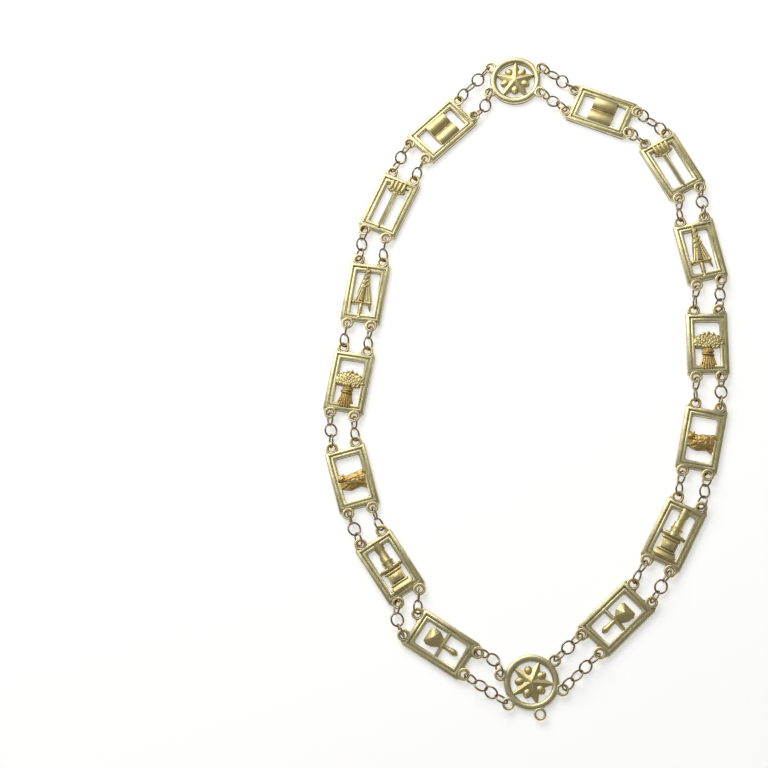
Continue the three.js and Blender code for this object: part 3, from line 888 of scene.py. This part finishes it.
def lug_place(name, side, strand, end):
    """A lug hole's middle, in millimetres; end is 1 for the upper end of a casting and -1 for the lower."""
    outward = 1 if side == "right" else -1
    outer = 1 if strand == "outer" else -1
    local = Vector((outward * outer * PLAQUE_LUG[0], end * PLAQUE_LUG[1], 0))
    if name.startswith("medallion"):
        local = Vector((outward * MEDALLION_LUG[0], -end * outer * MEDALLION_LUG[1], 0))
    place = casting_place(name) @ local
    return Vector((place.x / MM, place.y / MM))


# ---- finished pieces ------------------------------------------------------------------------------


def finished_piece(name, shape, materials, solid):
    """Turns a shape in metres into an object that stands for its solid."""
    bmesh.ops.recalc_face_normals(shape, faces=shape.faces)
    for face in shape.faces:
        face.smooth = True
    for edge in shape.edges:
        if edge.calc_face_angle(0.0) > CREASE:
            edge.smooth = False
    mesh = bpy.data.meshes.new(name)
    shape.to_mesh(mesh)
    shape.free()
    for material in materials:
        mesh.materials.append(material)
    piece = bpy.data.objects.new(name, mesh)
    bpy.context.scene.collection.objects.link(piece)
    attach(piece, "root")
    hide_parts(solid)
    return piece


def cast_pair(motif, emblem):
    """The left and the right plaque with one emblem."""
    for side in ("left", "right"):
        solid = f"{motif}_{side}"
        whole = bmesh.new()
        plaque_frame(whole)
        emblem(whole)
        if motif == "book" and side == "left":
            # The left one hangs the other way up, which a book doesn't show but its offset does.
            bmesh.ops.rotate(whole, verts=whole.verts, matrix=Matrix.Rotation(math.pi, 3, "Z"))
        bmesh.ops.transform(whole, matrix=casting_place(solid), verts=whole.verts)
        finished_piece(f"{solid}_plaque", whole, casting_finishes(), solid)


class CHAIN_OT_book(bpy.types.Operator):
    """Cast the two plaques with the open book"""

    bl_idname = "chain.book"
    bl_label = "Book plaques"

    def execute(self, context):
        cast_pair("book", book_emblem)
        return {"FINISHED"}


class CHAIN_OT_crown(bpy.types.Operator):
    """Cast the two plaques with the crown and sceptre"""

    bl_idname = "chain.crown"
    bl_label = "Crown plaques"

    def execute(self, context):
        cast_pair("crown", crown_emblem)
        return {"FINISHED"}


class CHAIN_OT_sword(bpy.types.Operator):
    """Cast the two plaques with the veiled sword"""

    bl_idname = "chain.sword"
    bl_label = "Sword plaques"

    def execute(self, context):
        cast_pair("sword", sword_emblem)
        return {"FINISHED"}


class CHAIN_OT_sheaf(bpy.types.Operator):
    """Cast the two plaques with the wheat sheaf"""

    bl_idname = "chain.sheaf"
    bl_label = "Sheaf plaques"

    def execute(self, context):
        cast_pair("sheaf", sheaf_emblem)
        return {"FINISHED"}


class CHAIN_OT_lamb(bpy.types.Operator):
    """Cast the two plaques with the lamb"""

    bl_idname = "chain.lamb"
    bl_label = "Lamb plaques"

    def execute(self, context):
        cast_pair("lamb", lamb_emblem)
        return {"FINISHED"}


class CHAIN_OT_column(bpy.types.Operator):
    """Cast the two plaques with the broken column"""

    bl_idname = "chain.column"
    bl_label = "Column plaques"

    def execute(self, context):
        cast_pair("column", column_emblem)
        return {"FINISHED"}


class CHAIN_OT_cup(bpy.types.Operator):
    """Cast the two plaques with the faceted cup"""

    bl_idname = "chain.cup"
    bl_label = "Cup plaques"

    def execute(self, context):
        cast_pair("cup", cup_emblem)
        return {"FINISHED"}


class CHAIN_OT_medallions(bpy.types.Operator):
    """Cast the two star medallions"""

    bl_idname = "chain.medallions"
    bl_label = "Star medallions"

    def execute(self, context):
        for solid, first_point, jewel in (
            ("medallion_top", math.pi / 2, False),
            ("medallion_bottom", -math.pi / 2, True),
        ):
            whole = bmesh.new()
            medallion_shape(whole, first_point, jewel)
            bmesh.ops.transform(whole, matrix=casting_place(solid), verts=whole.verts)
            finished_piece(f"{solid}_star", whole, casting_finishes(), solid)
        return {"FINISHED"}


def wire_ring(sizes, chance):
    """A ring of round wire in its own plane, in millimetres, with its butt joint left open a hair."""
    wide, long, wire = sizes.ring_wide / MM, sizes.ring_long / MM, sizes.wire / MM
    shape = bmesh.new()
    bmesh.ops.create_circle(
        shape,
        segments=12,
        radius=wire / 2,
        matrix=Matrix.Translation(((wide - wire) / 2, 0, 0)) @ Matrix.Rotation(math.pi / 2, 4, "X"),
    )
    slit = math.radians(1.6)
    bmesh.ops.rotate(shape, verts=shape.verts, matrix=Matrix.Rotation(slit / 2, 3, "Z"))
    bmesh.ops.spin(
        shape,
        geom=shape.verts[:] + shape.edges[:],
        axis=UP,
        cent=(0, 0, 0),
        angle=math.tau - slit,
        steps=44,
        use_merge=False,
    )
    bmesh.ops.holes_fill(shape, edges=shape.edges[:], sides=0)
    # The joint stands anywhere but where the next ring passes.
    where = chance.uniform(0.9, 2.2) * chance.choice((1, -1))
    bmesh.ops.rotate(shape, verts=shape.verts, matrix=Matrix.Rotation(where, 3, "Z"))
    bmesh.ops.scale(shape, verts=shape.verts, vec=((long - wire) / (wide - wire), 1, 1))
    return shape


class CHAIN_OT_rings(bpy.types.Operator):
    """Link the castings with strands of wire rings"""

    bl_idname = "chain.rings"
    bl_label = "Ring strands"

    def execute(self, context):
        scene = context.scene
        sizes, colours = scene.chain_sizes, scene.chain_colours
        brass = drawn_wire("worn_brass_wire", colours.wire, colours.tarnish_and_shade)
        wide, wire = sizes.ring_wide / MM, sizes.wire / MM
        pitch = (sizes.ring_long - 2 * sizes.wire + sizes.bite) / MM
        chance = random.Random(11)

        def rest_height(lean):
            return (wide - wire) / 2 * abs(math.sin(lean)) + wire / 2 + 0.02

        for (side, strand), rows in STRANDS.items():
            stops = ["medallion_top", *(f"{motif}_{side}" for motif in PLAQUE_ORDER), "medallion_bottom"]
            for gap, (count, first_lean, last_lean, bow) in enumerate(rows):
                start = lug_place(stops[gap], side, strand, -1)
                end = lug_place(stops[gap + 1], side, strand, 1)
                span = (end - start).length
                way = math.atan2(end.y - start.y, end.x - start.x)
                bow = bow if side == "right" else -bow
                first = math.radians(first_lean)
                last = math.radians(last_lean + ((count - 1) % 2) * 90)
                radius = (span**2 / 4 + bow**2) / (2 * bow) if bow else math.inf
                bend = 2 * math.asin(pitch / 2 / radius) if bow else 0.0
                whole = bmesh.new()
                for i in range(count):
                    share = i / (count - 1)
                    place = i - (count - 1) / 2
                    lean = first + (last - first) * share - (i % 2) * math.pi / 2
                    carried = rest_height(first) + (rest_height(lean) - rest_height(first)) * share
                    x = radius * math.sin(place * bend) if bow else place * pitch
                    y = bow - radius * (1 - math.cos(place * bend)) if bow else 0.0
                    spot = Matrix.Translation((span / 2 + x, y, max(rest_height(lean), carried)))
                    turn = Matrix.Rotation(-place * bend, 4, "Z") @ Matrix.Rotation(lean, 4, "X")
                    join(whole, wire_ring(sizes, chance), spot @ turn)
                lay = Matrix.Translation((start.x, start.y, 0)) @ Matrix.Rotation(way, 4, "Z")
                bmesh.ops.transform(whole, matrix=Matrix.Diagonal((MM, MM, MM, 1)) @ lay, verts=whole.verts)
                solid = f"rings_{side}_{gap + 1}_{strand}"
                finished_piece(f"{solid}_wire", whole, (brass,), solid)
        return {"FINISHED"}


# ---- stage ----------------------------------------------------------------------------------------


def area_light(name, place, aim, width, height, power, colour=(1, 1, 1)):
    light = bpy.data.lights.new(name, "AREA")
    light.shape = "RECTANGLE"
    light.size, light.size_y = width, height
    light.energy = power
    light.color = colour
    lamp = bpy.data.objects.new(name, light)
    lamp.location = place
    lamp.rotation_euler = (Vector(aim) - Vector(place)).to_track_quat("-Z", "Y").to_euler()
    bpy.context.scene.collection.objects.link(lamp)
    return lamp


class CHAIN_OT_stage(bpy.types.Operator):
    """Lay the floor, set the soft lights and place the camera"""

    bl_idname = "chain.stage"
    bl_label = "Stage"

    def execute(self, context):
        scene = context.scene
        shape = bmesh.new()
        bmesh.ops.create_grid(shape, x_segments=1, y_segments=1, size=3.0)
        mesh = bpy.data.meshes.new("floor")
        shape.to_mesh(mesh)
        shape.free()
        mesh.materials.append(opal_acrylic("opal_acrylic", scene.chain_colours.floor))
        floor = bpy.data.objects.new("floor", mesh)
        floor.location.z = -0.02 * MM
        scene.collection.objects.link(floor)

        world = bpy.data.worlds.new("studio")
        world.use_nodes = True
        world.node_tree.nodes.clear()
        air = node(world.node_tree, "ShaderNodeBackground", {"Color": (1.0, 1.0, 1.0, 1), "Strength": 0.19})
        node(world.node_tree, "ShaderNodeOutputWorld", links={"Surface": air.outputs[0]})
        scene.world = world
        scene.view_settings.view_transform = "Standard"

        area_light("window", (-0.55, 1.45, 1.15), (-0.05, 0.1, 0), 1.9, 1.0, 8, (1.0, 0.99, 0.95))
        area_light("softbox", (-0.52, 0.86, 0.85), (-0.1, 0.2, 0), 1.2, 1.0, 8.0, (1.0, 0.99, 0.96))

        camera = bpy.data.cameras.new("camera")
        camera.lens = 84.84
        camera.sensor_width = 36
        view = bpy.data.objects.new("camera", camera)
        around, above, roll = math.radians(19.04), math.radians(71.76), math.radians(-20.15)
        ahead = Vector(
            (
                -math.sin(around) * math.cos(above),
                math.cos(around) * math.cos(above),
                -math.sin(above),
            )
        )
        level = Vector((math.cos(around), math.sin(around), 0))
        over = level.cross(ahead)
        right = math.cos(roll) * level + math.sin(roll) * over
        top = right.cross(ahead)
        target = Vector((-82.2, -5.3, 2.7)) * MM
        spot = target - ahead * 1047.2 * MM
        view.matrix_world = Matrix(
            (
                (right.x, top.x, -ahead.x, spot.x),
                (right.y, top.y, -ahead.y, spot.y),
                (right.z, top.z, -ahead.z, spot.z),
                (0, 0, 0, 1),
            )
        )
        scene.collection.objects.link(view)
        scene.camera = view
        return {"FINISHED"}


class CHAIN_PT_panel(bpy.types.Panel):
    """Buttons for the chain's pieces"""

    bl_idname = "CHAIN_PT_panel"
    bl_label = "Chain of Office"
    bl_space_type = "VIEW_3D"
    bl_region_type = "UI"
    bl_category = "Chain"

    def draw(self, context):
        for group in (context.scene.chain_sizes, context.scene.chain_colours):
            for key in group.__annotations__:
                self.layout.prop(group, key)
        for operator in OPERATORS:
            self.layout.operator(operator.bl_idname)


OPERATORS = (
    CHAIN_OT_stage,
    CHAIN_OT_medallions,
    CHAIN_OT_book,
    CHAIN_OT_crown,
    CHAIN_OT_sword,
    CHAIN_OT_sheaf,
    CHAIN_OT_lamb,
    CHAIN_OT_column,
    CHAIN_OT_cup,
    CHAIN_OT_rings,
)
CLASSES = (ChainSizes, ChainColours, *OPERATORS, CHAIN_PT_panel)


def register():
    for item in CLASSES:
        bpy.utils.register_class(item)
    bpy.types.Scene.chain_sizes = bpy.props.PointerProperty(type=ChainSizes)
    bpy.types.Scene.chain_colours = bpy.props.PointerProperty(type=ChainColours)


def unregister():
    del bpy.types.Scene.chain_colours
    del bpy.types.Scene.chain_sizes
    for item in reversed(CLASSES):
        bpy.utils.unregister_class(item)


def main():
    register()
    for operator in OPERATORS:
        group, name = operator.bl_idname.split(".")
        getattr(getattr(bpy.ops, group), name)()


if __name__ == "__main__":
    main()
